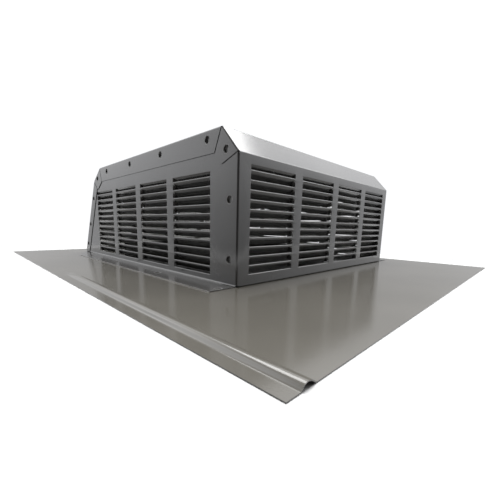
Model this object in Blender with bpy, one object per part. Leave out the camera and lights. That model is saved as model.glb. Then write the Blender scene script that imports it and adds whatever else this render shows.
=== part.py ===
# Static roof vent: a louvred hood with a leaning back wall, on a flat flashing sheet.
# Metres, +Z up. The origin is the centre of the flashing's underside and the hood's
# front wall faces -Y. The hood, its side panels and the rivets are laid out from the
# middle of the front wall's bottom edge, which an empty carries to its place.

import math

import bmesh
import bpy
from mathutils import Matrix, Vector

# Sheet metal
SHEET = 0.0006  # thickness of every painted sheet
LAP = 0.0003  # gap between sheets that lie on each other
BEND = 0.0015  # outer radius of a fold
BEND_STEPS = 3  # flats that make up a square fold

# Hood, measured on its outer faces
HOOD_WIDTH = 0.400
HOOD_DEPTH = 0.501  # along the flashing, front wall to foot of the back wall
HOOD_HEIGHT = 0.1688
FRONT_HEIGHT = 0.1398  # where the front wall folds over into its chamfer
FRONT_CHAMFER = 0.0265  # depth of the front chamfer, seen from above
BACK_HEIGHT = 0.1477  # where the back chamfer folds down into the back wall
BACK_CHAMFER = 0.0351  # depth of the back chamfer, seen from above
BACK_LEAN = 0.0797  # how much further back the back wall's foot is than its top
SIDE_FLANGE = 0.0254  # flanges that wrap round onto the side panels
BACK_FLANGE = 0.0205  # the same along the back wall
MITRE_SLIT = 0.0010  # slit between neighbouring flanges
FLANGE_LIFT = 0.0040  # flanges end this far above the flashing's underside
FOOT = 0.0150  # front and back walls' inward feet on the flashing
FOOT_RELIEF = 0.0030  # the feet stop short of the side panels

# Side panels
PANEL_FOOT = 0.0346  # outward foot, from the hood's side to the foot's edge

# Louvres
LOUVRE_LENGTH = 0.079
LOUVRE_GAP = 0.0158  # post between two columns
LOUVRE_PITCH = 0.0101
LOUVRE_OPENING = 0.0053  # height of an opening, and length of its blade
LOUVRE_ANGLE = math.radians(34)  # how far a blade leans inwards
BLADE_TAPER = 0.0005  # a blade's free end is narrower by this at each side
LIP = 0.0014  # lip bent back from each opening's lower edge, stiffening the strip below
LIP_ANGLE = math.radians(45)  # how far a lip leans inwards
LIP_TAPER = 0.0003  # a lip's free edge is narrower by this at each side
FRONT_FIRST_ROW = 0.0138  # lowest openings' lower edges, over the lips, front and back
SIDE_FIRST_ROW = 0.0093  # the same in the side panels
SIDE_COLUMN_START = 0.0464  # first column's distance behind the front wall
COLUMN_MARGIN = 0.005  # least metal beyond the last column
ROW_MARGIN = 0.008  # least metal above the top row

# Flashing sheet, as margins round the hood
MARGIN_LEFT = 0.124
MARGIN_RIGHT = 0.071
MARGIN_FRONT = 0.160
MARGIN_BACK = 0.069

# Raised bead along the flashing's left edge
BEAD_EDGE = 0.0108  # flat strip outside the bead
BEAD_WIDTH = 0.0108
BEAD_HEIGHT = 0.0031
BEAD_LENGTH = 0.374
BEAD_FADE = 0.060  # stretch over which the bead runs out
BEAD_STEEP = 0.29  # share of the width that the steep outer side takes
BEAD_COLUMNS = 8
BEAD_CROWDING = 1.6  # above 1 the cuts stand closer together on the steep side
BEAD_ROWS = 8

# Throat under the hood, with an upturned collar
THROAT_WIDTH = 0.305
THROAT_DEPTH = 0.305
COLLAR_HEIGHT = 0.025
COLLAR_RELIEF = 0.004  # collar flaps stop short of the throat's corners

# Hollow rivets
RIVET_SHANK = 0.0038  # radii
RIVET_HEAD = 0.0046
RIVET_HOLLOW = 0.0034
RIVET_TAIL = 0.0046
RIVET_CLEARANCE = 0.0003  # round the shank and under both heads
RIVET_RIM = 0.0004  # thickness of the outer head
RIVET_UPSET = 0.0010  # thickness of the inner head
RIVET_DEPTH = 0.0022  # hollow's floor, below the outer sheet's face
RIVET_SIDES = 8

# Rivets on the hood's flanges: distances in from the fold
FRONT_RIVET_IN = 0.0127
FRONT_CHAMFER_RIVET_IN = 0.0110
TOP_RIVET_IN = 0.0100
BACK_CHAMFER_RIVET_IN = 0.0080
BACK_RIVET_IN = 0.0090

# The same rivets' places along each flat, as shares of its length
FLANGE_RIVETS = {
    "front": ((0.207, 0.665), FRONT_RIVET_IN),
    "front_chamfer": ((0.41,), FRONT_CHAMFER_RIVET_IN),
    "top": ((0.068, 0.357, 0.627, 0.902), TOP_RIVET_IN),
    "back_chamfer": ((0.54,), BACK_CHAMFER_RIVET_IN),
    "back": ((0.200, 0.553, 0.844), BACK_RIVET_IN),
}

# Rivets along a side panel's foot: shares of the run between the two end rivets
FOOT_RIVETS = (0.0, 0.324, 0.682, 1.0)
FOOT_RIVET_OUT = 0.0195  # distance out from the hood's side
FOOT_RIVET_FRONT = 0.0068  # first rivet's distance behind the front wall
FOOT_RIVET_BACK = 0.0213  # last rivet's distance before the back wall's upper fold

# Paint
PAINT = (0.118, 0.112, 0.105, 1.0)
BARE_STEEL = (0.180, 0.178, 0.172, 1.0)

# Worked out from the above
SEAT = SHEET + LAP  # underside of what lies on the flashing
PANEL_IN = SHEET + LAP  # side panel's outer face, inside the hood's side
INNER_BEND = BEND - SHEET
BASE_WIDTH = MARGIN_LEFT + HOOD_WIDTH + MARGIN_RIGHT
BASE_DEPTH = MARGIN_FRONT + HOOD_DEPTH + MARGIN_BACK
HOOD_X = (MARGIN_LEFT - MARGIN_RIGHT) / 2
HOOD_Y = MARGIN_FRONT - BASE_DEPTH / 2
BACK_FOLD_Y = HOOD_DEPTH - BACK_LEAN
FLATS = ("front", "front_chamfer", "top", "back_chamfer", "back")
SIDES = {"left": -1, "right": 1}

ACROSS = Vector((1, 0, 0))
REARWARD = Vector((0, 1, 0))
UP = Vector((0, 0, 1))


# Scene and objects

def clear_scene():
    for obj in list(bpy.data.objects):
        bpy.data.objects.remove(obj, do_unlink=True)


def paint(name, colour, roughness, metallic):
    material = bpy.data.materials.new(name)
    material.use_nodes = True
    shader = material.node_tree.nodes["Principled BSDF"]
    shader.inputs["Base Color"].default_value = colour
    shader.inputs["Roughness"].default_value = roughness
    shader.inputs["Metallic"].default_value = metallic
    material.diffuse_color = colour
    return material


def add_object(name, bm, material, parent):
    mesh = bpy.data.meshes.new(name)
    bm.to_mesh(mesh)
    bm.free()
    mesh.shade_smooth()
    mesh.set_sharp_from_angle(angle=math.radians(32))
    mesh.materials.append(material)
    obj = bpy.data.objects.new(name, mesh)
    obj.parent = parent
    bpy.context.scene.collection.objects.link(obj)
    return obj


def face_outwards(bm, outward):
    # All faces of a sheet look the same way, its largest one along outward
    bmesh.ops.recalc_face_normals(bm, faces=bm.faces)
    largest = max(bm.faces, key=lambda face: face.calc_area())
    if largest.normal.dot(outward) < 0:
        bmesh.ops.reverse_faces(bm, faces=bm.faces)


def give_thickness(obj):
    solidify = obj.modifiers.new("sheet thickness", "SOLIDIFY")
    solidify.thickness = SHEET
    solidify.offset = -1
    solidify.use_even_offset = True
    solidify.use_quality_normals = True


def pierce(obj, cutter):
    # The louvred walls' inner faces aren't quite flat, so they are cut as triangles
    obj.modifiers.new("triangles", "TRIANGULATE")
    holes = obj.modifiers.new("rivet holes", "BOOLEAN")
    holes.operation = "DIFFERENCE"
    holes.solver = "EXACT"
    holes.object = cutter


# Sheet-metal steps

def push(bm, edges, vector):
    # Draws a flat out of the given edges and returns its far edges
    made = bmesh.ops.extrude_edge_only(bm, edges=edges)["geom"]
    verts = [item for item in made if isinstance(item, bmesh.types.BMVert)]
    bmesh.ops.translate(bm, verts=verts, vec=vector)
    return [
        item for item in made
        if isinstance(item, bmesh.types.BMEdge) and all(vert in verts for vert in item.verts)
    ]


def fold(bm, edges, heading, onward, radius):
    # Rolls the sheet over from one direction to another and returns its far edges
    angle = heading.angle(onward)
    axis = heading.cross(onward).normalized()
    centre = edges[0].verts[0].co + axis.cross(heading) * radius
    steps = max(1, round(BEND_STEPS * angle / math.radians(90)))
    verts = {vert for edge in edges for vert in edge.verts}
    made = bmesh.ops.spin(
        bm, geom=list(verts) + list(edges), cent=centre, axis=axis, angle=angle, steps=steps
    )
    return [item for item in made["geom_last"] if isinstance(item, bmesh.types.BMEdge)]


def trim_edge(bm, edge, along, start_inset, end_inset):
    # Splits off both ends of an edge and returns what is left between them
    start, end = sorted(edge.verts, key=lambda vert: vert.co.dot(along))
    first = bmesh.utils.edge_split(edge, start, start_inset / edge.calc_length())[1]
    rest = bm.edges.get((first, end))
    last = bmesh.utils.edge_split(rest, end, end_inset / rest.calc_length())[1]
    return bm.edges.get((first, last))


def cut_faces(bm, faces, point, normal):
    # Cuts flat faces along a plane and returns all their parts
    verts = {vert for face in faces for vert in face.verts}
    edges = {edge for face in faces for edge in face.edges}
    made = bmesh.ops.bisect_plane(
        bm, geom=list(verts) + list(edges) + list(faces), dist=1e-7,
        plane_co=point, plane_no=normal,
    )
    return [item for item in made["geom"] if isinstance(item, bmesh.types.BMFace)]


def furthest_edge(face, direction):
    # The edge of a face that lies furthest along a direction
    return max(face.edges, key=lambda edge: (edge.verts[0].co + edge.verts[1].co).dot(direction))


def setback(heading, onward):
    # Distance from a sharp corner to where its fold starts
    return BEND * math.tan(heading.angle(onward) / 2)


# Hood

def hood_corners():
    # Sharp corners of the hood's outer face, seen from the side, from front foot to back foot
    return [
        Vector((0, 0, SEAT)),
        Vector((0, 0, FRONT_HEIGHT)),
        Vector((0, FRONT_CHAMFER, HOOD_HEIGHT)),
        Vector((0, BACK_FOLD_Y - BACK_CHAMFER, HOOD_HEIGHT)),
        Vector((0, BACK_FOLD_Y, BACK_HEIGHT)),
        Vector((0, HOOD_DEPTH, SEAT)),
    ]


def hood_flats():
    # Each flat's start, direction, length and inward normal
    corners = hood_corners()
    flats = {}
    for name, start, end in zip(FLATS, corners, corners[1:]):
        along = (end - start).normalized()
        flats[name] = {
            "start": start,
            "end": end,
            "along": along,
            "length": (end - start).length,
            "inward": Vector((0, along.z, -along.y)),
        }
    return flats


def roll_hood(bm, flats):
    # The hood's sheet from front wall to back wall, without its flanges and feet
    headings = [-REARWARD] + [flats[name]["along"] for name in FLATS] + [-REARWARD]
    half = HOOD_WIDTH / 2 - BEND
    start = flats["front"]["start"] + UP * setback(headings[0], headings[1])
    ends = [bm.verts.new(start + ACROSS * half * side) for side in (-1, 1)]
    edges = [bm.edges.new(ends)]
    faces = {}
    for index, name in enumerate(FLATS):
        before, along, after = headings[index:index + 3]
        run = flats[name]["length"] - setback(before, along) - setback(along, after)
        edges = push(bm, edges, along * run)
        faces[name] = edges[0].link_faces[0]
        if name != FLATS[-1]:
            edges = fold(bm, edges, along, after, BEND)
    return faces


def mitre_slopes(flats):
    # How fast each flange narrows at its start and end, per distance in from its fold
    slopes = {}
    for index, name in enumerate(FLATS):
        along = flats[name]["along"]
        lean = abs(along.y / along.z) if abs(along.z) > 0 else 0
        before = flats[FLATS[index - 1]]["along"] if index > 0 else None
        after = flats[FLATS[index + 1]]["along"] if index + 1 < len(FLATS) else None
        slopes[name] = (
            math.tan(before.angle(along) / 2) if before else lean,
            math.tan(along.angle(after) / 2) if after else lean,
        )
    return slopes


def add_side_flange(bm, face, flat, side, width, slopes, insets):
    outward = ACROSS * side
    rim = furthest_edge(face, outward)
    edge = trim_edge(bm, rim, flat["along"], insets[0], insets[1])
    edges = fold(bm, [edge], outward, flat["inward"], BEND)
    edges = push(bm, edges, flat["inward"] * (width - BEND))
    start, end = sorted(edges[0].verts, key=lambda vert: vert.co.dot(flat["along"]))
    start.co += flat["along"] * slopes[0] * (width - BEND)
    end.co -= flat["along"] * slopes[1] * (width - BEND)


def add_side_flanges(bm, faces, flats):
    slopes = mitre_slopes(flats)
    lift = FLANGE_LIFT - SEAT
    foot_insets = {
        "front": lift - setback(-REARWARD, flats["front"]["along"]),
        "back": lift / abs(flats["back"]["along"].z) - setback(flats["back"]["along"], -REARWARD),
    }
    for name in FLATS:
        width = BACK_FLANGE if name == "back" else SIDE_FLANGE
        insets = [MITRE_SLIT / 2, MITRE_SLIT / 2]
        if name == "front":
            insets[0] = foot_insets["front"]
        if name == "back":
            insets[1] = foot_insets["back"]
        for side in SIDES.values():
            add_side_flange(bm, faces[name], flats[name], side, width, slopes[name], insets)


def add_foot(bm, face, heading):
    # Inward foot along a wall's bottom edge
    sill = furthest_edge(face, heading)
    onward = REARWARD if heading.y <= 0 else -REARWARD
    relief = FOOT_RELIEF - BEND
    edge = trim_edge(bm, sill, ACROSS, relief, relief)
    edges = fold(bm, [edge], heading, onward, BEND)
    push(bm, edges, onward * (FOOT - setback(heading, onward)))


def make_hood(material, parent):
    bm = bmesh.new()
    flats = hood_flats()
    faces = roll_hood(bm, flats)
    add_side_flanges(bm, faces, flats)
    add_foot(bm, faces["front"], -flats["front"]["along"])
    add_foot(bm, faces["back"], flats["back"]["along"])
    front = flats["front"]
    back = flats["back"]
    columns = columns_in(HOOD_WIDTH - 2 * COLUMN_MARGIN)
    field = columns * (LOUVRE_LENGTH + LOUVRE_GAP) - LOUVRE_GAP
    rows = rows_in(FRONT_HEIGHT, FRONT_FIRST_ROW)
    cut_louvres(
        bm, faces["front"], front["start"] - UP * SEAT, ACROSS, front["along"], front["inward"],
        -field / 2, columns, FRONT_FIRST_ROW, rows,
    )
    cut_louvres(
        bm, faces["back"], back["end"], ACROSS, -back["along"], back["inward"],
        -field / 2, columns, FRONT_FIRST_ROW, min(rows, rows_in(back["length"], FRONT_FIRST_ROW)),
    )
    face_outwards(bm, UP)
    return add_object("hood", bm, material, parent)


# Louvres

def columns_in(room):
    return int((room + LOUVRE_GAP) / (LOUVRE_LENGTH + LOUVRE_GAP))


def rows_in(height, first_row):
    return int((height - ROW_MARGIN - first_row - LOUVRE_OPENING) / LOUVRE_PITCH) + 1


def cut_louvres(bm, wall, corner, across, up, inward, first_column, columns, first_row, rows):
    # Lances rows of louvres: a blade leans in from each opening's upper edge, a lip from its
    # lower edge
    lip_rise = LIP * math.cos(LIP_ANGLE)
    starts = [first_column + index * (LOUVRE_LENGTH + LOUVRE_GAP) for index in range(columns)]
    sills = [first_row + index * LOUVRE_PITCH for index in range(rows)]
    parts = [wall]
    for start in starts:
        for station in (start, start + LOUVRE_LENGTH):
            parts = cut_faces(bm, parts, corner + across * station, across)
    openings = []
    for start in starts:
        middle = start + LOUVRE_LENGTH / 2
        strips = [part for part in parts if near(part, corner, across, middle)]
        for sill in sills:
            for station in (sill - lip_rise, sill + LOUVRE_OPENING):
                strips = cut_faces(bm, strips, corner + up * station, up)
        for sill in sills:
            height = sill + (LOUVRE_OPENING - lip_rise) / 2
            openings += [strip for strip in strips if near(strip, corner, up, height)]
    heads = [furthest_edge(opening, up) for opening in openings]
    sill_edges = [furthest_edge(opening, -up) for opening in openings]
    bmesh.ops.delete(bm, geom=openings, context="FACES")
    blade = inward * math.sin(LOUVRE_ANGLE) - up * math.cos(LOUVRE_ANGLE)
    bend_flaps(bm, heads, blade * LOUVRE_OPENING, across, BLADE_TAPER)
    lip = inward * math.sin(LIP_ANGLE) + up * math.cos(LIP_ANGLE)
    bend_flaps(bm, sill_edges, lip * LIP, across, LIP_TAPER)


def bend_flaps(bm, edges, vector, across, taper):
    # Pushes edges out into flaps that are a little narrower at their free ends
    for edge in push(bm, edges, vector):
        first, last = sorted(edge.verts, key=lambda vert: vert.co.dot(across))
        first.co += across * taper
        last.co -= across * taper


def near(face, corner, direction, station):
    # Whether a face's middle lies at a station along a direction
    middle = face.calc_center_bounds()
    return abs((middle - corner).dot(direction) - station) < LOUVRE_OPENING / 4


# Side panels

def make_side_panel(name, side, material, parent):
    # A panel inside the hood's flanges, with an outward foot on the flashing
    bm = bmesh.new()
    inset = BEND + LAP
    fold_height = SEAT + SHEET + INNER_BEND
    corners = hood_corners()
    back = corners[-1] - corners[-2]
    corners[0].z = fold_height - inset
    corners[-1] += back * ((fold_height - inset - SEAT) / back.z)
    plane = ACROSS * side * (HOOD_WIDTH / 2 - PANEL_IN)
    outline = bm.faces.new([bm.verts.new(corner + plane) for corner in corners])
    outline.normal_update()
    border = bmesh.ops.inset_region(
        bm, faces=[outline], thickness=inset, use_boundary=True, use_even_offset=True
    )
    bmesh.ops.delete(bm, geom=border["faces"], context="FACES")
    wall = next(iter(bm.faces))
    sill = furthest_edge(wall, -UP)
    edges = fold(bm, [sill], -UP, ACROSS * side, INNER_BEND)
    edges = push(bm, edges, ACROSS * side * (PANEL_FOOT + PANEL_IN - INNER_BEND))
    outer_corner = max(edges[0].verts, key=lambda vert: vert.co.y)
    outer_corner.co.y = BACK_FOLD_Y
    columns = columns_in(BACK_FOLD_Y - COLUMN_MARGIN - SIDE_COLUMN_START)
    rows = rows_in(FRONT_HEIGHT, SIDE_FIRST_ROW)
    cut_louvres(
        bm, wall, plane, REARWARD, UP, -ACROSS * side,
        SIDE_COLUMN_START, columns, SIDE_FIRST_ROW, rows,
    )
    face_outwards(bm, ACROSS * side)
    return add_object(name, bm, material, parent)


# Flashing sheet

def smooth_step(value):
    value = min(max(value, 0.0), 1.0)
    return value * value * (3 - 2 * value)


def bead_height(across, along):
    # across: share of the bead's width from its outer foot; along: distance to its far end
    # From the outer foot it is a quarter round up, then a long flat arch down
    if across < BEAD_STEEP:
        arch = math.sqrt(max(0.0, 1 - (1 - across / BEAD_STEEP) ** 2))
    else:
        arch = 1 - ((across - BEAD_STEEP) / (1 - BEAD_STEEP)) ** 2
    return BEAD_HEIGHT * arch * smooth_step(along / BEAD_FADE)


def press_bead(bm, faces):
    outer = BEAD_EDGE - BASE_WIDTH / 2
    inner = outer + BEAD_WIDTH
    far_end = BEAD_LENGTH - BASE_DEPTH / 2
    for x in (outer, inner):
        faces = cut_faces(bm, faces, Vector((x, 0, 0)), ACROSS)
    faces = [face for face in faces if outer < face.calc_center_bounds().x < inner]
    faces = cut_faces(bm, faces, Vector((0, far_end, 0)), REARWARD)
    faces = [face for face in faces if face.calc_center_bounds().y < far_end]
    for column in range(1, BEAD_COLUMNS):
        share = (column / BEAD_COLUMNS) ** BEAD_CROWDING
        faces = cut_faces(bm, faces, Vector((outer + BEAD_WIDTH * share, 0, 0)), ACROSS)
    for row in range(1, BEAD_ROWS + 1):
        y = far_end - BEAD_FADE * row / BEAD_ROWS
        faces = cut_faces(bm, faces, Vector((0, y, 0)), REARWARD)
    for vert in {vert for face in faces for vert in face.verts}:
        vert.co.z += bead_height((vert.co.x - outer) / BEAD_WIDTH, far_end - vert.co.y)


def throat_corner(side_x, side_y, extra):
    # A corner of the throat under the middle of the hood, grown by extra
    return Vector((
        HOOD_X + side_x * (THROAT_WIDTH / 2 + extra),
        HOOD_Y + HOOD_DEPTH / 2 + side_y * (THROAT_DEPTH / 2 + extra),
        SHEET,
    ))


def make_flashing(material):
    bm = bmesh.new()
    corners = [(-1, -1), (1, -1), (1, 1), (-1, 1)]
    sheet = bm.faces.new([
        bm.verts.new((x * BASE_WIDTH / 2, y * BASE_DEPTH / 2, SHEET)) for x, y in corners
    ])
    grown = SHEET + INNER_BEND
    low = throat_corner(-1, -1, grown)
    high = throat_corner(1, 1, grown)
    faces = [sheet]
    for point in (low, high):
        faces = cut_faces(bm, faces, point, ACROSS)
    left = [face for face in faces if face.calc_center_bounds().x < low.x]
    middle = [face for face in faces if low.x < face.calc_center_bounds().x < high.x]
    press_bead(bm, left)
    for point in (low, high):
        middle = cut_faces(bm, middle, point, REARWARD)
    throat = [face for face in middle if low.y < face.calc_center_bounds().y < high.y]
    rims = list(throat[0].edges)
    centre = throat[0].calc_center_bounds()
    bmesh.ops.delete(bm, geom=throat, context="FACES")
    for rim in rims:
        add_collar_flap(bm, rim, centre)
    face_outwards(bm, UP)
    return add_object("base_flashing", bm, material, None)


def add_collar_flap(bm, rim, centre):
    # One side of the throat's collar, turned up from the flashing
    first, last = (vert.co.copy() for vert in rim.verts)
    along = (last - first).normalized()
    heading = (centre - (first + last) / 2).normalized()
    edge = trim_edge(bm, rim, along, COLLAR_RELIEF, COLLAR_RELIEF)
    edges = fold(bm, [edge], heading, UP, INNER_BEND)
    push(bm, edges, UP * (COLLAR_HEIGHT - SHEET - INNER_BEND))


# Rivets

def flange_rivet_spots(side):
    # Places on the hood's flanges, on their outer faces
    plane = ACROSS * side * HOOD_WIDTH / 2
    spots = []
    for name, flat in hood_flats().items():
        shares, inset = FLANGE_RIVETS[name]
        for share in shares:
            spot = flat["start"] + flat["along"] * flat["length"] * share
            spots.append(spot + flat["inward"] * inset + plane)
    return spots


def foot_rivet_spots(side):
    # Places on a side panel's foot, on its upper face
    x = side * (HOOD_WIDTH / 2 + FOOT_RIVET_OUT)
    run = BACK_FOLD_Y - FOOT_RIVET_BACK - FOOT_RIVET_FRONT
    return [
        Vector((x, FOOT_RIVET_FRONT + run * share, SEAT + SHEET)) for share in FOOT_RIVETS
    ]


def turn_profile(profile):
    # Turns a profile of radius and height pairs round +Z into a closed body
    bm = bmesh.new()
    verts = [bm.verts.new((radius, 0, height)) for radius, height in profile]
    edges = [bm.edges.new(pair) for pair in zip(verts, verts[1:])]
    bmesh.ops.spin(
        bm, geom=verts + edges, cent=(0, 0, 0), axis=UP, angle=math.radians(360),
        steps=RIVET_SIDES, use_merge=True,
    )
    bmesh.ops.remove_doubles(bm, verts=bm.verts, dist=1e-6)
    bmesh.ops.recalc_face_normals(bm, faces=bm.faces)
    return bm


def flange_rivet_profile():
    # A hollow rivet through a flange and a side panel, with an upset tail inside
    grip = 2 * SHEET + LAP
    return [
        (0, -RIVET_DEPTH),
        (RIVET_HOLLOW, -RIVET_DEPTH),
        (RIVET_HOLLOW, RIVET_CLEARANCE + RIVET_RIM),
        (RIVET_HEAD, RIVET_CLEARANCE + RIVET_RIM),
        (RIVET_HEAD, RIVET_CLEARANCE),
        (RIVET_SHANK, RIVET_CLEARANCE),
        (RIVET_SHANK, -grip - RIVET_CLEARANCE),
        (RIVET_TAIL, -grip - RIVET_CLEARANCE),
        (RIVET_TAIL, -grip - RIVET_CLEARANCE - RIVET_UPSET),
        (0, -grip - RIVET_CLEARANCE - RIVET_UPSET),
    ]


def foot_rivet_profile():
    # The same head on a shank that ends level with the flashing's underside
    grip = 2 * SHEET + LAP
    return [
        (0, -grip + SHEET),
        (RIVET_HOLLOW, -grip + SHEET),
        (RIVET_HOLLOW, RIVET_CLEARANCE + RIVET_RIM),
        (RIVET_HEAD, RIVET_CLEARANCE + RIVET_RIM),
        (RIVET_HEAD, RIVET_CLEARANCE),
        (RIVET_SHANK, RIVET_CLEARANCE),
        (RIVET_SHANK, -grip),
        (0, -grip),
    ]


def hole_profile():
    reach = RIVET_HEAD
    radius = RIVET_SHANK + RIVET_CLEARANCE
    return [(0, reach), (radius, reach), (radius, -reach), (0, -reach)]


def rivet_matrix(spot, side, on_foot):
    # Moves a rivet or a plug to its place, with its +Z pointing out of the sheet
    turn = 0 if on_foot else side * math.radians(90)
    return Matrix.Translation(spot) @ Matrix.Rotation(turn, 4, "Y")


def rivet_places():
    # Name, spot, side and whether it sits on a foot, for every rivet
    places = []
    for word, side in SIDES.items():
        for number, spot in enumerate(flange_rivet_spots(side), 1):
            places.append((f"{word}_flange_rivet_{number:02d}", spot, side, False))
        for number, spot in enumerate(foot_rivet_spots(side), 1):
            places.append((f"{word}_foot_rivet_{number}", spot, side, True))
    return places


def add_rivets(material, parent):
    for name, spot, side, on_foot in rivet_places():
        profile = foot_rivet_profile() if on_foot else flange_rivet_profile()
        rivet = add_object(name, turn_profile(profile), material, parent)
        rivet.matrix_local = rivet_matrix(spot, side, on_foot)


def add_hole_cutter(parent):
    # One cutter that holds a plug for every rivet hole
    plugs = bmesh.new()
    for _, spot, side, on_foot in rivet_places():
        plug = turn_profile(hole_profile())
        bmesh.ops.transform(plug, verts=plug.verts, matrix=rivet_matrix(spot, side, on_foot))
        part = bpy.data.meshes.new("plug")
        plug.to_mesh(part)
        plug.free()
        plugs.from_mesh(part)
        bpy.data.meshes.remove(part)
    cutter = add_object("rivet_hole_cutter", plugs, paint("cutter", PAINT, 0.5, 0.0), parent)
    cutter.hide_render = True
    cutter.display_type = "WIRE"
    return cutter


def main():
    clear_scene()
    hood_place = bpy.data.objects.new("hood_place", None)
    hood_place.location = (HOOD_X, HOOD_Y, 0)
    bpy.context.scene.collection.objects.link(hood_place)
    sheets = [
        make_flashing(paint("flashing_paint", PAINT, 0.35, 0.2)),
        make_hood(paint("hood_paint", PAINT, 0.35, 0.2), hood_place),
    ]
    for word, side in SIDES.items():
        panel_paint = paint(f"panel_{word}_paint", PAINT, 0.35, 0.2)
        sheets.append(make_side_panel(f"side_panel_{word}", side, panel_paint, hood_place))
    add_rivets(paint("rivet_paint", BARE_STEEL, 0.4, 0.3), hood_place)
    bpy.context.view_layer.update()
    cutter = add_hole_cutter(hood_place)
    for sheet in sheets:
        give_thickness(sheet)
        pierce(sheet, cutter)


main()
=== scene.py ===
import math
import random

import bmesh
import bpy
from mathutils import Matrix, Vector


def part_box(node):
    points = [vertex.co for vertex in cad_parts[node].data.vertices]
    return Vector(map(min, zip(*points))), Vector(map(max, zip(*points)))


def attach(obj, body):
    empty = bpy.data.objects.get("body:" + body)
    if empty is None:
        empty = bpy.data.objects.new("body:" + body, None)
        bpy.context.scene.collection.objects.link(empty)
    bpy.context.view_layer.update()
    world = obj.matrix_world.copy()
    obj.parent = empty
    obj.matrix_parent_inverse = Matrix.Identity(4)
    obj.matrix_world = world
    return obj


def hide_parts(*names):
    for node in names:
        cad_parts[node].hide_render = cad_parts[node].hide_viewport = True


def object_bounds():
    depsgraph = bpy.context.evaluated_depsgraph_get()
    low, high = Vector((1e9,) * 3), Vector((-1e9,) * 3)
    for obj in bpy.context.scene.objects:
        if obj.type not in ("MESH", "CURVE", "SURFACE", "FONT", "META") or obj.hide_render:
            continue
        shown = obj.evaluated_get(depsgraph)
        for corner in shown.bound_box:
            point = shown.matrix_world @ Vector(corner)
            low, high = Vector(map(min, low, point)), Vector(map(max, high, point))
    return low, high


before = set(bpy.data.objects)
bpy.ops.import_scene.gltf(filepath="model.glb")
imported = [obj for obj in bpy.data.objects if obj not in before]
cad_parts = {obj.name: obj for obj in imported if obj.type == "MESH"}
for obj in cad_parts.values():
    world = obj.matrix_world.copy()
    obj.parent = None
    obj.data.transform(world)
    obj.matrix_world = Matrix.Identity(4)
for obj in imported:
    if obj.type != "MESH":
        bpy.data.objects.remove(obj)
cadLow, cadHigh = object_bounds()

# everything below is in metres, and every place is worked out from the frame's boxes
hoodLow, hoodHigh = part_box("hood")
flashingLow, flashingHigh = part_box("base_flashing")
hoodMiddle = (hoodLow.x + hoodHigh.x) / 2
hoodWidth = hoodHigh.x - hoodLow.x

across = Vector((1, 0, 0))
rearward = Vector((0, 1, 0))
upward = Vector((0, 0, 1))

sheetMetal = {
    "thickness": 0.0006,
    "lap": 0.0003,  # gap between sheets that lie on each other
    "bend": 0.0018,  # outer radius of a fold
    "foldSteps": 6,  # flats that make up a square fold
    "fewestFoldSteps": 2,
    "smoothAngle": 45,  # degrees, folds under this shade smoothly
}
cutTolerance = 1e-7
mergeDistance = 1e-6
squareTurn = math.radians(90)
innerBend = sheetMetal["bend"] - sheetMetal["thickness"]
seat = sheetMetal["thickness"] + sheetMetal["lap"]


# materials

def newMaterial(name):
    material = bpy.data.materials.new(name)
    material.use_nodes = True
    return material, material.node_tree.nodes["Principled BSDF"]


def addNoise(tree, place, scale, detail):
    noise = tree.nodes.new("ShaderNodeTexNoise")
    noise.inputs["Scale"].default_value = scale
    noise.inputs["Detail"].default_value = detail
    tree.links.new(place, noise.inputs["Vector"])
    return noise.outputs["Fac"]


def addRamp(tree, source, span, dark, light):
    ramp = tree.nodes.new("ShaderNodeValToRGB")
    for stop, position, colour in zip(ramp.color_ramp.elements, span, (dark, light)):
        stop.position = position
        stop.color = colour
    tree.links.new(source, ramp.inputs["Fac"])
    return ramp.outputs["Color"]


def addRange(tree, source, low, high):
    span = tree.nodes.new("ShaderNodeMapRange")
    span.inputs["To Min"].default_value = low
    span.inputs["To Max"].default_value = high
    tree.links.new(source, span.inputs["Value"])
    return span.outputs["Result"]


def addBump(tree, height, distance, before=None):
    bump = tree.nodes.new("ShaderNodeBump")
    bump.inputs["Strength"].default_value = 1.0
    bump.inputs["Distance"].default_value = distance
    tree.links.new(height, bump.inputs["Height"])
    if before:
        tree.links.new(before, bump.inputs["Normal"])
    return bump.outputs["Normal"]


paintFinish = {
    "dark": (0.0305, 0.0298, 0.0290, 1),
    "light": (0.0370, 0.0362, 0.0352, 1),
    "roughness": (0.13, 0.18),
    "specular": 0.8,
    "cloudNoise": (9, 4),  # scale and detail, here of the faint clouds in colour and gloss
    "cloudSpan": (0.3, 0.7),  # part of the noise that runs from dark to light
    "wave": 0.0010,  # how far the thin sheet waves out of flat, in the bump
    "waveNoise": (5, 1),
    "peel": 0.000018,  # height of the paint's fine orange peel
    "peelNoise": (900, 2),
}
flashingFinish = {
    **paintFinish,
    "dark": (0.0385, 0.0362, 0.0312, 1),
    "light": (0.0465, 0.0438, 0.0380, 1),
}
rivetFinish = {
    **paintFinish,
    "dark": (0.070, 0.069, 0.067, 1),
    "light": (0.092, 0.090, 0.087, 1),
    "roughness": (0.25, 0.35),
    "wave": 0.0,
}
# the inner side of the hood and the side panels
backingFinish = {
    **paintFinish,
    "dark": (0.28, 0.28, 0.27, 1),
    "light": (0.34, 0.34, 0.33, 1),
    "roughness": (0.40, 0.55),
}
# where a sheet was sheared after painting, with the shear's fine streaks; its light colour is also
# a painted highlight along the side panels' foot edge
bareAndHighlightFinish = {
    "dark": (0.46, 0.45, 0.44, 1),
    "light": (0.60, 0.59, 0.58, 1),
    "roughness": (0.35, 0.55),
    "streakNoise": (700, 2),
    "streakSpan": (0.3, 0.7),
}


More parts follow.
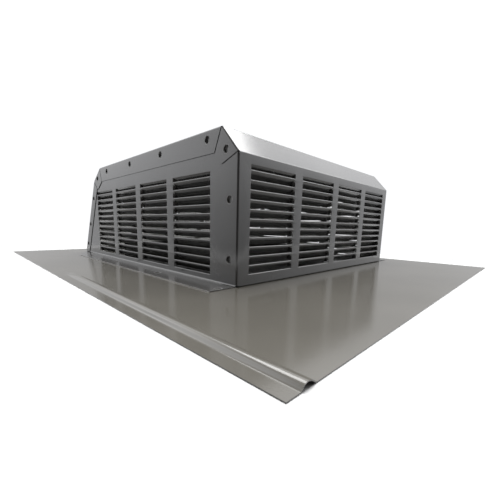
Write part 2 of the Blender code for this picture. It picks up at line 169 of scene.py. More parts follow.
def makePaint(name, finish):
    # semi-gloss coil paint on thin sheet: faint clouds, a fine peel, slow waves in the metal
    material, shader = newMaterial(name)
    tree = material.node_tree
    place = tree.nodes.new("ShaderNodeTexCoord").outputs["Object"]
    clouds = addNoise(tree, place, *finish["cloudNoise"])
    fine = addNoise(tree, place, *finish["peelNoise"])
    waves = addNoise(tree, place, *finish["waveNoise"])
    colour = addRamp(tree, clouds, finish["cloudSpan"], finish["dark"], finish["light"])
    tree.links.new(colour, shader.inputs["Base Color"])
    gloss = addRange(tree, clouds, *finish["roughness"])
    tree.links.new(gloss, shader.inputs["Roughness"])
    slow = addBump(tree, waves, finish["wave"])
    tree.links.new(addBump(tree, fine, finish["peel"], slow), shader.inputs["Normal"])
    shader.inputs["Specular IOR Level"].default_value = finish["specular"]
    return material


# bare sheared metal in a light colour, which also paints in the highlight that the foot's outer
# edge catches
def makeBareAndHighlightEdge(name, finish):
    material, shader = newMaterial(name)
    tree = material.node_tree
    place = tree.nodes.new("ShaderNodeTexCoord").outputs["Object"]
    streaks = addNoise(tree, place, *finish["streakNoise"])
    colour = addRamp(tree, streaks, finish["streakSpan"], finish["dark"], finish["light"])
    tree.links.new(colour, shader.inputs["Base Color"])
    gloss = addRange(tree, streaks, *finish["roughness"])
    tree.links.new(gloss, shader.inputs["Roughness"])
    shader.inputs["Metallic"].default_value = 1.0
    return material


flashingPaint = makePaint("flashing paint", flashingFinish)
hoodPaint = makePaint("hood paint", paintFinish)
backingCoat = makePaint("backing coat", backingFinish)
rivetPaint = makePaint("rivet paint", rivetFinish)
# the bare edge's light colour is partly a painted highlight
bareAndHighlightEdge = makeBareAndHighlightEdge("bare edge and painted highlight", bareAndHighlightFinish)
print("materials made")


# sheet-metal steps: a skin is drawn out and folded edge by edge, then given its thickness

def pushEdges(bm, edges, vector):
    made = bmesh.ops.extrude_edge_only(bm, edges=edges)["geom"]
    verts = [item for item in made if isinstance(item, bmesh.types.BMVert)]
    bmesh.ops.translate(bm, verts=verts, vec=vector)
    kept = set(verts)
    return [item for item in made
            if isinstance(item, bmesh.types.BMEdge) and kept.issuperset(item.verts)]


def foldEdges(bm, edges, heading, onward, radius):
    angle = heading.angle(onward)
    axis = heading.cross(onward).normalized()
    centre = edges[0].verts[0].co + axis.cross(heading) * radius
    steps = max(sheetMetal["fewestFoldSteps"], round(sheetMetal["foldSteps"] * angle / squareTurn))
    verts = {vert for edge in edges for vert in edge.verts}
    made = bmesh.ops.spin(bm, geom=list(verts) + list(edges), cent=centre, axis=axis,
                          angle=angle, steps=steps)
    return [item for item in made["geom_last"] if isinstance(item, bmesh.types.BMEdge)]


def trimEdge(bm, edge, along, startInset, endInset):
    start, end = sorted(edge.verts, key=lambda vert: vert.co.dot(along))
    first = bmesh.utils.edge_split(edge, start, startInset / edge.calc_length())[1]
    rest = bm.edges.get((first, end))
    last = bmesh.utils.edge_split(rest, end, endInset / rest.calc_length())[1]
    return bm.edges.get((first, last))


def cutFaces(bm, faces, point, normal):
    verts = {vert for face in faces for vert in face.verts}
    edges = {edge for face in faces for edge in face.edges}
    made = bmesh.ops.bisect_plane(bm, geom=list(verts) + list(edges) + list(faces),
                                  dist=cutTolerance, plane_co=point, plane_no=normal)
    return [item for item in made["geom"] if isinstance(item, bmesh.types.BMFace)]


def edgeFurthest(edges, direction):
    return max(edges, key=lambda edge: (edge.verts[0].co + edge.verts[1].co).dot(direction))


def turnProfile(profile, sides):
    # a row of (radius, height) points turned round +Z into a closed body
    bm = bmesh.new()
    verts = [bm.verts.new((radius, 0, height)) for radius, height in profile]
    edges = [bm.edges.new(pair) for pair in zip(verts, verts[1:])]
    bmesh.ops.spin(bm, geom=verts + edges, cent=(0, 0, 0), axis=upward,
                   angle=math.radians(360), steps=sides, use_merge=True)
    bmesh.ops.remove_doubles(bm, verts=bm.verts, dist=mergeDistance)
    bmesh.ops.recalc_face_normals(bm, faces=bm.faces)
    return bm


def addPiece(name, bm, materials, slot, *nodes):
    mesh = bpy.data.meshes.new(name)
    bm.to_mesh(mesh)
    bm.free()
    for material in materials:
        mesh.materials.append(material)
    piece = bpy.data.objects.new(name, mesh)
    bpy.context.scene.collection.objects.link(piece)
    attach(piece, "root")
    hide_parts(*nodes)
    return piece


def smoothPiece(piece, degrees):
    # folds shade smoothly, and flats keep their own shade
    piece.data.shade_smooth()
    piece.data.set_sharp_from_angle(angle=math.radians(degrees))
    weighted = piece.modifiers.new("flats stay flat", "WEIGHTED_NORMAL")
    weighted.keep_sharp = True
    weighted.weight = 100


def finishSheet(piece, cutter):
    # thickness inwards with the last material inside, then the rivet holes, all in the mesh
    solidify = piece.modifiers.new("thickness", "SOLIDIFY")
    solidify.thickness = sheetMetal["thickness"]
    solidify.offset = -1
    solidify.use_even_offset = True
    solidify.use_quality_normals = True
    solidify.material_offset = len(piece.data.materials) - 1
    piece.modifiers.new("triangles", "TRIANGULATE")
    holes = piece.modifiers.new("rivet holes", "BOOLEAN")
    holes.operation = "DIFFERENCE"
    holes.solver = "EXACT"
    holes.object = cutter
    bpy.context.view_layer.update()
    graph = bpy.context.evaluated_depsgraph_get()
    finished = bpy.data.meshes.new_from_object(piece.evaluated_get(graph))
    bm = bmesh.new()
    bm.from_mesh(finished)
    bmesh.ops.triangulate(bm, faces=bm.faces, ngon_method="BEAUTY")  # no slivers at the holes
    bm.to_mesh(finished)
    bm.free()
    piece.modifiers.clear()
    piece.data = finished
    smoothPiece(piece, sheetMetal["smoothAngle"])


def faceOutwards(bm, outward):
    bmesh.ops.recalc_face_normals(bm, faces=bm.faces)
    largest = max(bm.faces, key=lambda face: face.calc_area())
    if largest.normal.dot(outward) < 0:
        bmesh.ops.reverse_faces(bm, faces=bm.faces)


# louvres

louvre = {
    "length": 0.079,
    "gap": 0.0158,  # post between two columns
    "pitch": 0.0101,
    "opening": 0.0053,
    "columns": 4,
    "rows": 12,
    "endLength": 0.0026,  # stretched metal at each end of a slat
    "slatTilt": 0.0029,  # how far a slat's lower edge is pressed in
    "slatCurve": 1.25,  # 1 is a flat slat, more curves it towards its lower edge
    "slatFlats": 3,  # flats that make up the curve
    "bladeAngles": (40, 39, 41),  # degrees that a blade leans inwards, from its root on
    "bladeShares": (0.10, 0.14, 0.72),  # shares of the opening's height, in the same order
    "angleSpread": 1.5,  # degrees, small differences from blade to blade
    "seeds": {"front": 1, "back": 2, "left": 2, "right": 4},  # for those differences
    "bladeTaper": 0.0005,  # how much shorter a blade gets at each end
    "lipAngles": (-6, 16, 38, 60, 78),  # degrees that a slat's upper edge is rolled inwards
    "lipStep": 0.00040,  # width of each of the lip's flats
    "lipTaper": 0.0003,
    "frontFirstRow": 0.0138,  # height of the lowest opening in the front and back walls
    "sideFirstRow": 0.0093,  # the same in the side panels
    "sideColumnStart": 0.0464,  # from the front wall to the side panels' first column
}


def cutLouvres(bm, wall, corner, along, up, inward, firstColumn, firstRow, seed):
    # a slat has a lip rolled in along its upper edge, and a blade that hangs from its lower edge
    spread = random.Random(seed)
    lipRise = sum(louvre["lipStep"] * math.cos(math.radians(angle))
                  for angle in louvre["lipAngles"])
    slatHeight = louvre["pitch"] - louvre["opening"] - lipRise
    stride = louvre["length"] + louvre["gap"]
    starts = [firstColumn + column * stride for column in range(louvre["columns"])]
    sills = [firstRow + row * louvre["pitch"] for row in range(louvre["rows"])]
    parts = [wall]
    for start in starts:
        for station in (start, start + louvre["length"]):
            parts = cutFaces(bm, parts, corner + along * station, along)
    rows = []
    for start in starts:
        middle = start + louvre["length"] / 2
        strips = [part for part in parts if isNear(part, corner, along, middle)]
        for sill in sills:
            for station in (sill - lipRise, sill + louvre["opening"]):
                strips = cutFaces(bm, strips, corner + up * station, up)
        for sill in sills[:-1]:
            for step in range(1, louvre["slatFlats"]):
                station = sill + louvre["opening"] + slatHeight * step / louvre["slatFlats"]
                strips = cutFaces(bm, strips, corner + up * station, up)
        for inset in (louvre["endLength"], louvre["length"] - louvre["endLength"]):
            strips = cutFaces(bm, strips, corner + along * (start + inset), along)
        for sill in sills:
            height = sill + (louvre["opening"] - lipRise) / 2
            rows.append([strip for strip in strips if isNear(strip, corner, up, height)])
        pressSlats(strips, corner + along * start, along, up, inward, sills, slatHeight)
    heads = [[edgeFurthest(face.edges, up) for face in row] for row in rows]
    lips = [[edgeFurthest(face.edges, -up) for face in row] for row in rows]
    bmesh.ops.delete(bm, geom=[face for row in rows for face in row], context="FACES")
    for head, lip in zip(heads, lips):
        lean = spread.uniform(-1, 1) * louvre["angleSpread"]
        for angle, share in zip(louvre["bladeAngles"], louvre["bladeShares"]):
            turn = math.radians(angle + lean)
            heading = inward * math.sin(turn) - up * math.cos(turn)
            head = pushEdges(bm, head, heading * louvre["opening"] * share)
            taperEnds(head, along, louvre["bladeTaper"] * share)
        for angle in louvre["lipAngles"]:
            turn = math.radians(angle)
            heading = inward * math.sin(turn) + up * math.cos(turn)
            lip = pushEdges(bm, lip, heading * louvre["lipStep"])
            taperEnds(lip, along, louvre["lipTaper"] / len(louvre["lipAngles"]))


def sortedVerts(edges, along):
    verts = {vert for edge in edges for vert in edge.verts}
    return sorted(verts, key=lambda vert: vert.co.dot(along))


def pressSlats(faces, corner, along, up, inward, sills, slatHeight):
    # each slat curves inwards towards its lower edge, and only its two ends stay in the wall
    slack = 0.01  # for points that lie on a line all but exactly
    for vert in {vert for face in faces for vert in face.verts}:
        station = (vert.co - corner).dot(along)
        fromEnd = min(station, louvre["length"] - station)
        if fromEnd < louvre["endLength"] * (1 - slack):
            continue
        for sill in sills[:-1]:
            share = 1 - ((vert.co - corner).dot(up) - sill - louvre["opening"]) / slatHeight
            if -slack < share < 1 + slack:
                vert.co += inward * louvre["slatTilt"] * max(share, 0) ** louvre["slatCurve"]


def taperEnds(edges, along, amount):
    verts = sortedVerts(edges, along)
    verts[0].co += along * amount
    verts[-1].co -= along * amount


def isNear(face, corner, direction, station):
    # within a quarter of an opening, which tells one strip or row from the next
    middle = face.calc_center_bounds()
    return abs((middle - corner).dot(direction) - station) < louvre["opening"] / 4


# hood

hood = {
    "frontHeight": 0.1398,  # where the front wall folds over into its chamfer
    "frontChamfer": 0.0265,
    "backHeight": 0.1477,
    "backChamfer": 0.0351,
    "backLean": 0.0797,  # from the back wall's upper fold to its foot, level with the floor
    "depth": 0.501,  # along the flashing, from the front wall's foot to the back wall's
    "sideFlange": 0.0254,
    "backFlange": 0.0205,
    "mitreSlit": 0.0016,  # gap between the flanges of two flats
    "flangeLift": 0.0040,  # from the floor up to the flanges' lower ends
    "foot": 0.0150,
    "footRelief": 0.0030,  # from the hood's side to the end of its foot
}
hoodFront = hoodLow.y
hoodBack = hoodFront + hood["depth"]
backFold = hoodBack - hood["backLean"]
flatNames = ["front", "frontChamfer", "top", "backChamfer", "back"]


def hoodCorners():
    # sharp corners of the hood's outer face, seen from the side, from front foot to back foot
    top = hoodHigh.z
    return [
        Vector((0, hoodFront, seat)),
        Vector((0, hoodFront, hood["frontHeight"])),
        Vector((0, hoodFront + hood["frontChamfer"], top)),
        Vector((0, backFold - hood["backChamfer"], top)),
        Vector((0, backFold, hood["backHeight"])),
        Vector((0, hoodBack, seat)),
    ]


def hoodFlats():
    corners = hoodCorners()
    flats = {}
    for name, start, end in zip(flatNames, corners, corners[1:]):
        along = (end - start).normalized()
        flats[name] = {"start": start, "end": end, "along": along,
                       "length": (end - start).length, "inward": Vector((0, along.z, -along.y))}
    return flats


def setback(heading, onward):
    return sheetMetal["bend"] * math.tan(heading.angle(onward) / 2)


def rollHood(bm, flats):
    headings = [-rearward] + [flats[name]["along"] for name in flatNames] + [-rearward]
    half = across * (hoodWidth / 2 - sheetMetal["bend"])
    start = flats["front"]["start"] + upward * setback(headings[0], headings[1])
    start = start + across * hoodMiddle
    edges = [bm.edges.new([bm.verts.new(start - half), bm.verts.new(start + half)])]
    faces = {}
    for index, name in enumerate(flatNames):
        before, along, after = headings[index:index + 3]
        run = flats[name]["length"] - setback(before, along) - setback(along, after)
        edges = pushEdges(bm, edges, along * run)
        faces[name] = edges[0].link_faces[0]
        if name != flatNames[-1]:
            edges = foldEdges(bm, edges, along, after, sheetMetal["bend"])
    return faces


def mitreSlopes(flats, index):
    # how fast a flange narrows at its start and end, per distance in from its fold
    along = flats[flatNames[index]]["along"]
    slopes = []
    for other in (index - 1, index + 1):
        if 0 <= other < len(flatNames):
            slopes.append(math.tan(along.angle(flats[flatNames[other]]["along"]) / 2))
        else:
            slopes.append(abs(along.y / along.z))
    return slopes


def addSideFlange(bm, face, flat, side, width, slopes, insets):
    edge = edgeFurthest(face.edges, across * side)
    edge = trimEdge(bm, edge, flat["along"], insets[0], insets[1])
    edges = foldEdges(bm, [edge], across * side, flat["inward"], sheetMetal["bend"])
    edges = pushEdges(bm, edges, flat["inward"] * (width - sheetMetal["bend"]))
    start, end = sorted(edges[0].verts, key=lambda vert: vert.co.dot(flat["along"]))
    start.co += flat["along"] * slopes[0] * (width - sheetMetal["bend"])
    end.co -= flat["along"] * slopes[1] * (width - sheetMetal["bend"])


def addSideFlanges(bm, faces, flats):
    lift = hood["flangeLift"] - seat
    front, back = flats["front"]["along"], flats["back"]["along"]
    for index, name in enumerate(flatNames):
        width = hood["backFlange"] if name == "back" else hood["sideFlange"]
        insets = [hood["mitreSlit"] / 2, hood["mitreSlit"] / 2]
        if name == "front":
            insets[0] = lift - setback(-rearward, front)
        if name == "back":
            insets[1] = lift / abs(back.z) - setback(back, -rearward)
        slopes = mitreSlopes(flats, index)
        for side in (-1, 1):
            addSideFlange(bm, faces[name], flats[name], side, width, slopes, insets)


def addFoot(bm, face, heading, onward):
    relief = hood["footRelief"] - sheetMetal["bend"]
    edge = trimEdge(bm, edgeFurthest(face.edges, heading), across, relief, relief)
    edges = foldEdges(bm, [edge], heading, onward, sheetMetal["bend"])
    pushEdges(bm, edges, onward * (hood["foot"] - setback(heading, onward)))


def makeHood(cutter):
    bm = bmesh.new()
    flats = hoodFlats()
    faces = rollHood(bm, flats)
    addSideFlanges(bm, faces, flats)
    front, back = flats["front"], flats["back"]
    addFoot(bm, faces["front"], -front["along"], rearward)
    addFoot(bm, faces["back"], back["along"], -rearward)
    field = louvre["columns"] * (louvre["length"] + louvre["gap"]) - louvre["gap"]
    middle = across * hoodMiddle
    cutLouvres(bm, faces["front"], front["start"] - upward * seat + middle, across,
               front["along"], front["inward"], -field / 2, louvre["frontFirstRow"],
               louvre["seeds"]["front"])
    cutLouvres(bm, faces["back"], back["end"] + middle, across,
               -back["along"], back["inward"], -field / 2, louvre["frontFirstRow"],
               louvre["seeds"]["back"])
    faceOutwards(bm, upward)
    piece = addPiece("folded_hood", bm, [hoodPaint, backingCoat], "hood", "hood")
    finishSheet(piece, cutter)


# side panels

panel = {
    "foot": 0.0346,  # from the hood's side to the foot's edge
    "footBend": 0.0020,  # radius of the fold into the foot
    "edgeFacing": 0.9,  # faces that turn outwards more than this are the foot's bare edge, given a light colour as a painted highlight
}


def makeSidePanel(word, side, cutter):
    bm = bmesh.new()
    inset = sheetMetal["bend"] + sheetMetal["lap"]
    foldHeight = seat + sheetMetal["thickness"] + panel["footBend"]
    corners = hoodCorners()
    lean = corners[-1] - corners[-2]
    corners[0].z = foldHeight - inset
    corners[-1] += lean * ((foldHeight - inset - seat) / lean.z)
    plane = across * (hoodMiddle + side * (hoodWidth / 2 - seat))
    outline = bm.faces.new([bm.verts.new(corner + plane) for corner in corners])
    outline.normal_update()
    border = bmesh.ops.inset_region(bm, faces=[outline], thickness=inset, use_boundary=True,
                                    use_even_offset=True)
    bmesh.ops.delete(bm, geom=border["faces"], context="FACES")
    wall = next(iter(bm.faces))
    sill = edgeFurthest(wall.edges, -upward)
    edges = foldEdges(bm, [sill], -upward, across * side, panel["footBend"])
    edges = pushEdges(bm, edges, across * side * (panel["foot"] + seat - panel["footBend"]))
    outerCorner = max(edges[0].verts, key=lambda vert: vert.co.y)
    outerCorner.co.y = backFold
    corner = plane + rearward * hoodFront
    cutLouvres(bm, wall, corner, rearward, upward, -across * side,
               louvre["sideColumnStart"], louvre["sideFirstRow"], louvre["seeds"][word])
    faceOutwards(bm, across * side)
    piece = addPiece(f"louvred_side_{word}", bm, [hoodPaint, backingCoat], "side_panel",
                     f"side_panel_{word}")
    finishSheet(piece, cutter)
    # the foot's outer edge: bare metal, and a painted highlight
    bareAndHighlitFootEdge(piece, side)


# only the foot's outer edge gets the light bare colour: a bare sheared edge, and a painted
# highlight where that edge catches the light
def bareAndHighlitFootEdge(piece, side):
    piece.data.materials.append(bareAndHighlightEdge)
    footTop = seat + sheetMetal["thickness"]
    for face in piece.data.polygons:
        if face.center.z < footTop and face.normal.x * side > panel["edgeFacing"]:
            face.material_index = len(piece.data.materials) - 1


# flashing sheet

bead = {
    "edge": 0.0108,  # flat strip outside the bead
    "width": 0.0108,
    "height": 0.0031,
    "length": 0.374,
    "fade": 0.060,  # length over which the bead runs out into the flat sheet
    "steep": 0.42,  # shares of the width: the steep outer side, and the feet's softness
    "soft": 0.07,
    "softSteps": 3,
    "columns": 40,  # flats across the bead
    "crowding": 1.4,  # over 1 the columns stand closer together on the steep side
    "rows": 24,  # flats along its fading end
}
throat = {
    "width": 0.305,
    "depth": 0.305,
    "collar": 0.025,  # height of the upturned edge
    "relief": 0.004,  # cut away beside each corner
}


def smoothStep(value):
    value = min(max(value, 0.0), 1.0)
    return value * value * (3 - 2 * value)


def beadArch(share):
    # share runs from the outer foot: a quarter oval up, then a longer flat arch down
    if not 0 < share < 1:
        return 0
    if share < bead["steep"]:
        return math.sqrt(1 - (1 - share / bead["steep"]) ** 2)
    return 1 - ((share - bead["steep"]) / (1 - bead["steep"])) ** 2


def beadHeight(share, distance):
    # averaged over a short width, so that its feet run softly into the sheet
    reach = bead["softSteps"]
    near = [beadArch(share + bead["soft"] * step / reach) for step in range(-reach, reach + 1)]
    return bead["height"] * sum(near) / len(near) * smoothStep(distance / bead["fade"])


def pressBead(bm, faces):
    margin = bead["width"] * bead["soft"]
    outer = flashingLow.x + bead["edge"] - margin
    inner = flashingLow.x + bead["edge"] + bead["width"] + margin
    farEnd = flashingLow.y + bead["length"]
    for x in (outer, inner):
        faces = cutFaces(bm, faces, Vector((x, 0, 0)), across)
    faces = [face for face in faces if outer < face.calc_center_bounds().x < inner]
    faces = cutFaces(bm, faces, Vector((0, farEnd, 0)), rearward)
    faces = [face for face in faces if face.calc_center_bounds().y < farEnd]
    for column in range(1, bead["columns"]):
        share = (column / bead["columns"]) ** bead["crowding"]
        faces = cutFaces(bm, faces, Vector((outer + (inner - outer) * share, 0, 0)), across)
    for row in range(1, bead["rows"] + 1):
        y = farEnd - bead["fade"] * row / bead["rows"]
        faces = cutFaces(bm, faces, Vector((0, y, 0)), rearward)
    for vert in {vert for face in faces for vert in face.verts}:
        share = (vert.co.x - flashingLow.x - bead["edge"]) / bead["width"]
        vert.co.z += beadHeight(share, farEnd - vert.co.y)


def addCollarFlap(bm, rim, centre):
    first, last = (vert.co.copy() for vert in rim.verts)
    along = (last - first).normalized()
    heading = (centre - (first + last) / 2).normalized()
    edge = trimEdge(bm, rim, along, throat["relief"], throat["relief"])
    edges = foldEdges(bm, [edge], heading, upward, innerBend)
    pushEdges(bm, edges, upward * (throat["collar"] - sheetMetal["thickness"] - innerBend))


def makeFlashing(cutter):
    bm = bmesh.new()
    top = sheetMetal["thickness"]
    corners = [(flashingLow.x, flashingLow.y), (flashingHigh.x, flashingLow.y),
               (flashingHigh.x, flashingHigh.y), (flashingLow.x, flashingHigh.y)]
    sheet = bm.faces.new([bm.verts.new((x, y, top)) for x, y in corners])
    centre = Vector((hoodMiddle, (hoodFront + hoodBack) / 2, top))
    grown = sheetMetal["thickness"] + innerBend
    reach = Vector((throat["width"] / 2 + grown, throat["depth"] / 2 + grown, 0))
    low, high = centre - reach, centre + reach
    faces = [sheet]
    for point in (low, high):
        faces = cutFaces(bm, faces, point, across)
    left = [face for face in faces if face.calc_center_bounds().x < low.x]
    middle = [face for face in faces if low.x < face.calc_center_bounds().x < high.x]
    pressBead(bm, left)
    for point in (low, high):
        middle = cutFaces(bm, middle, point, rearward)
    opening = [face for face in middle if low.y < face.calc_center_bounds().y < high.y]
    rims = list(opening[0].edges)
    bmesh.ops.delete(bm, geom=opening, context="FACES")
    for rim in rims:
        addCollarFlap(bm, rim, centre)
    faceOutwards(bm, upward)
    piece = addPiece("flashing_sheet", bm, [flashingPaint], "flashing", "base_flashing")
    finishSheet(piece, cutter)


# rivets

# radii, depths and clearances
rivet = {
    "hollow": 0.0038,
    "entry": 0.0010,  # radius of the soft entry round the hollow
    "entryShare": 0.7,  # the most of the hollow's depth that the entry takes
    "entrySteps": 8,
    "depth": 0.0023,  # hollow's floor, below the outer sheet's face
    "floorRound": 0.0003,  # radius of the round where the floor meets the wall
    "floorFlat": 0.0001,  # short flat before that round
    "floorSteps": 3,
    "shank": 0.0041,
    "flange": 0.0049,
    "proud": 0.00006,  # how far the flange stands out of the sheet's face
    "flangeUnder": 1 / 3,  # the flange's underside, as a share of that
    "tail": 0.0048,  # radius of the upset end behind the sheets
    "upset": 0.0010,  # thickness of that end
    "clearance": 0.0003,
    "sides": 32,
    "smoothAngle": 50,
    "plugSides": 24,  # of the plug that cuts a rivet's hole
}


def rivetProfile(onFoot):
    grip = 2 * sheetMetal["thickness"] + sheetMetal["lap"]
    top = rivet["proud"]
    floor = rivet["clearance"] - grip if onFoot else -rivet["depth"]
    under = top * rivet["flangeUnder"]
    soft = min(rivet["entry"], (top - floor) * rivet["entryShare"])
    roundMiddle = rivet["hollow"] - rivet["floorRound"]
    points = [(0, floor), (roundMiddle - rivet["floorFlat"], floor)]
    points += arcPoints(roundMiddle, floor + rivet["floorRound"], rivet["floorRound"],
                        270, 360, rivet["floorSteps"])
    points += arcPoints(rivet["hollow"] + soft, top - soft, soft, 180, 90, rivet["entrySteps"])
    points += [(rivet["flange"], top), (rivet["flange"], under), (rivet["shank"], under)]
    if onFoot:
        points += [(rivet["shank"], -grip), (0, -grip)]
    else:
        seatDepth = -grip - rivet["clearance"]
        points += [(rivet["shank"], seatDepth), (rivet["tail"], seatDepth)]
        points += [(rivet["tail"], seatDepth - rivet["upset"]), (0, seatDepth - rivet["upset"])]
    return points


def arcPoints(centreRadius, centreHeight, radius, fromDegrees, toDegrees, steps):
    points = []
    for step in range(steps + 1):
        angle = math.radians(fromDegrees + (toDegrees - fromDegrees) * step / steps)
        points.append((centreRadius + radius * math.cos(angle),
                       centreHeight + radius * math.sin(angle)))
    return points


def rivetPlaces():
    # each rivet stands at the middle of its CAD node's box, on the outer sheet's face
    places = []
    for node in sorted(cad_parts):
        if "_rivet_" not in node:
            continue
        low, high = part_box(node)
        side = -1 if node.startswith("left") else 1
        onFoot = "_foot_" in node
        middle = (low + high) / 2
        if onFoot:
            middle.z = seat + sheetMetal["thickness"]
        else:
            middle.x = hoodMiddle + side * hoodWidth / 2
        turn = Matrix.Rotation(0 if onFoot else side * squareTurn, 4, "Y")
        places.append((node, Matrix.Translation(middle) @ turn, onFoot))
    return places


def makeRivets():
    for node, matrix, onFoot in rivetPlaces():
        bm = turnProfile(rivetProfile(onFoot), rivet["sides"])
        bmesh.ops.transform(bm, verts=bm.verts, matrix=matrix)
        piece = addPiece(f"set_{node}", bm, [rivetPaint], "rivet", node)
        smoothPiece(piece, rivet["smoothAngle"])


def makeHoleCutter():
    # a plug for every rivet hole, deleted again once the sheets are cut
    plugs = bmesh.new()
    radius = (rivet["shank"] + rivet["flange"]) / 2
    reach = rivet["flange"]
    profile = [(0, reach), (radius, reach), (radius, -reach), (0, -reach)]
    for _, matrix, _ in rivetPlaces():
        plug = turnProfile(profile, rivet["plugSides"])
        bmesh.ops.transform(plug, verts=plug.verts, matrix=matrix)
        part = bpy.data.meshes.new("plug")
        plug.to_mesh(part)
        plug.free()
        plugs.from_mesh(part)
        bpy.data.meshes.remove(part)
    mesh = bpy.data.meshes.new("plugs")
    plugs.to_mesh(mesh)
    plugs.free()
    cutter = bpy.data.objects.new("plugs", mesh)
    bpy.context.scene.collection.objects.link(cutter)
    return cutter


cutter = makeHoleCutter()
makeFlashing(cutter)
print("flashing made")
makeHood(cutter)
print("hood made")
makeSidePanel("left", -1, cutter)
makeSidePanel("right", 1, cutter)
print("side panels made")
bpy.data.objects.remove(cutter)
makeRivets()
print("rivets made")


# studio

camera = {
    "place": (-0.207, -0.219, 0.067),  # from the hood's front left bottom corner
    "heading": 0.782,  # radians, turned from +Y towards +X
    "tilt": -0.1687,  # radians, and the roll too
    "roll": 0.022,
    "focal": 287.98,  # in pixels of the square image, and the centre too
    "centre": (243.52, 274.27),
    "image": 500,
    "sensor": 36,  # millimetres
    "nearest": 0.01,
}


def placeCamera():
    data = bpy.data.cameras.new("camera")
    obj = bpy.data.objects.new("camera", data)
    bpy.context.scene.collection.objects.link(obj)
    bpy.context.scene.camera = obj
    heading, tilt, roll = camera["heading"], camera["tilt"], camera["roll"]
    right = Vector((math.cos(heading), -math.sin(heading), 0))
    forward = Vector((math.sin(heading) * math.cos(tilt), math.cos(heading) * math.cos(tilt),
                      math.sin(tilt)))
    up = right.cross(forward)
    rolledRight = right * math.cos(roll) + up * math.sin(roll)
    rolledUp = up * math.cos(roll) - right * math.sin(roll)
    place = Vector((hoodLow.x, hoodFront, 0)) + Vector(camera["place"])
    rows = Matrix((rolledRight, rolledUp, -forward)).transposed()
    obj.matrix_world = Matrix.Translation(place) @ rows.to_4x4()
    data.sensor_width = camera["sensor"]
    data.lens = camera["focal"] / camera["image"] * camera["sensor"]
    data.shift_x = (camera["image"] / 2 - camera["centre"][0]) / camera["image"]
    data.shift_y = (camera["centre"][1] - camera["image"] / 2) / camera["image"]
    data.clip_start = camera["nearest"]


studio = {
    "floorMargin": 0.12,  # pale floor beyond the flashing's edges
    "floorColour": (0.25, 0.25, 0.25, 1),
    "floorRoughness": 0.9,
    "floorDrop": 0.0002,  # below the flashing's underside
    "tentColour": (0.975, 0.98, 1.0, 1),
    "backdrop": 1.05,  # brightness of the white backdrop that the camera sees
    # The tent's height runs from -1 underfoot to 1 overhead. Its facing runs from -1 behind
    # the object to 1 behind the camera, along the direction of the dim side.
    "dimSide": (-0.71, -0.70, 0.0),
    "dimSpan": (-0.20, 0.42),  # facings between which the tent falls to its dim level
    "dimLevel": 0.05,
    "tentFar": (0.50, 1.60),  # brightness behind the object, low down and high up
    "farRise": (0.15, 0.66),  # heights between which it rises
    "tentSide": (1.04, 1.82),  # the same on both sides
    "sideRise": (0.0, 0.25),
    "farSpan": (-0.88, -0.30),  # facings between which the far part becomes the sides
    "tentUnder": 0.1,  # share of the light that is left underfoot
    "fallDepth": (-0.9, -0.22),  # height where that is reached, behind the object and nearer
    "fallSpan": (-0.40, -0.10),  # facings between which that height changes
    "tentCrown": 0.4,  # share of the light that is left overhead
    "crownSpan": (0.60, 0.85),
    "boxDistance": 2.0,
    "boxAim": 0.15,  # height on the hood's front left corner that the soft boxes point at
    # direction from +Y towards +X and height in degrees, width, height in metres, power in watts
    "softBoxes": {
        "above": (45, 84, 1.4, 1.4, 185),
        "overhead": (55, 58.5, 2.0, 0.85, 34),
        "right side": (115, 31, 1.2, 0.8, 9.5),
        "left side": (-32, 31, 1.7, 0.8, 4),
    },
    "broadFill": "above",  # this one lights without a highlight
}


def makeFloor():
    bm = bmesh.new()
    bmesh.ops.create_grid(bm, x_segments=1, y_segments=1, size=0.5)  # one metre square
    reach = flashingHigh - flashingLow + (across + rearward) * studio["floorMargin"] * 2
    bmesh.ops.scale(bm, verts=bm.verts, vec=(reach.x, reach.y, 1))
    middle = (flashingLow + flashingHigh) / 2
    middle.z = cadLow.z - studio["floorDrop"]
    bmesh.ops.translate(bm, verts=bm.verts, vec=middle)
    mesh = bpy.data.meshes.new("floor")
    bm.to_mesh(mesh)
    bm.free()
    material, shader = newMaterial("pale floor")
    shader.inputs["Base Color"].default_value = studio["floorColour"]
    shader.inputs["Roughness"].default_value = studio["floorRoughness"]
    mesh.materials.append(material)
    floor = bpy.data.objects.new("floor", mesh)
    bpy.context.scene.collection.objects.link(floor)


def addLight(name, place, target, width, height, power):
    data = bpy.data.lights.new(name, "AREA")
    data.shape = "RECTANGLE"
    data.size = width
    data.size_y = height
    data.energy = power
    obj = bpy.data.objects.new(name, data)
    obj.location = place
    obj.rotation_euler = (target - place).to_track_quat("-Z", "Y").to_euler()
    bpy.context.scene.collection.objects.link(obj)
    return obj


def addSmoothRange(tree, source, fromLow, fromHigh, low, high):
    span = tree.nodes.new("ShaderNodeMapRange")
    span.interpolation_type = "SMOOTHSTEP"
    ends = {"From Min": fromLow, "From Max": fromHigh, "To Min": low, "To Max": high}
    for socket, value in ends.items():
        if isinstance(value, bpy.types.NodeSocket):
            tree.links.new(value, span.inputs[socket])
        else:
            span.inputs[socket].default_value = value
    tree.links.new(source, span.inputs["Value"])
    return span.outputs["Result"]


def addMath(tree, operation, first, second):
    made = tree.nodes.new("ShaderNodeMath")
    made.operation = operation
    tree.links.new(first, made.inputs[0])
    tree.links.new(second, made.inputs[1])
    return made.outputs["Value"]


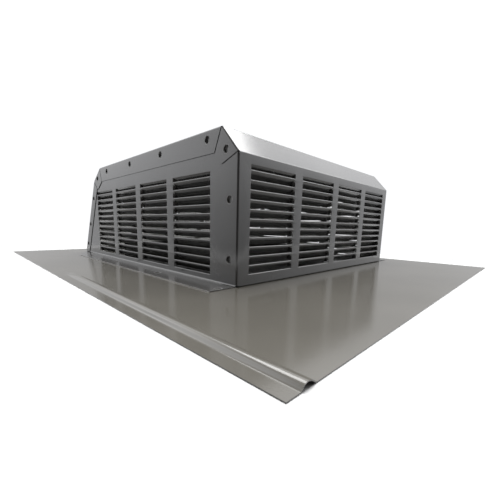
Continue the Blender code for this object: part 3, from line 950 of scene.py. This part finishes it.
def makeWorld():
    # a pale tent round the object, open and dim on one side, with a white backdrop
    world = bpy.data.worlds.new("studio")
    world.use_nodes = True
    tree = world.node_tree
    direction = tree.nodes.new("ShaderNodeTexCoord").outputs["Generated"]
    split = tree.nodes.new("ShaderNodeSeparateXYZ")
    tree.links.new(direction, split.inputs["Vector"])
    height = split.outputs["Z"]
    dot = tree.nodes.new("ShaderNodeVectorMath")
    dot.operation = "DOT_PRODUCT"
    dot.inputs[1].default_value = studio["dimSide"]
    tree.links.new(direction, dot.inputs[0])
    facing = dot.outputs["Value"]
    far = addSmoothRange(tree, height, *studio["farRise"], *studio["tentFar"])
    side = addSmoothRange(tree, height, *studio["sideRise"], *studio["tentSide"])
    lit = addSmoothRange(tree, facing, *studio["farSpan"], far, side)
    depth = addSmoothRange(tree, facing, *studio["fallSpan"], *studio["fallDepth"])
    under = addSmoothRange(tree, height, depth, 0.0, studio["tentUnder"], 1.0)
    dim = addSmoothRange(tree, facing, *studio["dimSpan"], 1.0, studio["dimLevel"])
    crown = addSmoothRange(tree, height, *studio["crownSpan"], 1.0, studio["tentCrown"])
    for share in (dim, under, crown):
        lit = addMath(tree, "MULTIPLY", lit, share)
    rays = tree.nodes.new("ShaderNodeLightPath")
    backdrop = addRange(tree, rays.outputs["Is Camera Ray"], 0.0, studio["backdrop"])
    background = tree.nodes["Background"]
    tree.links.new(addMath(tree, "MAXIMUM", lit, backdrop), background.inputs["Strength"])
    background.inputs["Color"].default_value = studio["tentColour"]
    bpy.context.scene.world = world


def lightStudio():
    makeWorld()
    aim = Vector((hoodLow.x, hoodFront, studio["boxAim"]))
    for name, (azimuth, height, width, tall, power) in studio["softBoxes"].items():
        azimuth, height = math.radians(azimuth), math.radians(height)
        flat = rearward * math.cos(azimuth) + across * math.sin(azimuth)
        heading = flat * math.cos(height) + upward * math.sin(height)
        light = addLight(name, aim + heading * studio["boxDistance"], aim, width, tall, power)
        light.visible_glossy = name != studio["broadFill"]


placeCamera()
makeFloor()
lightStudio()
bpy.context.scene.view_settings.view_transform = "Standard"

print("scene ready")
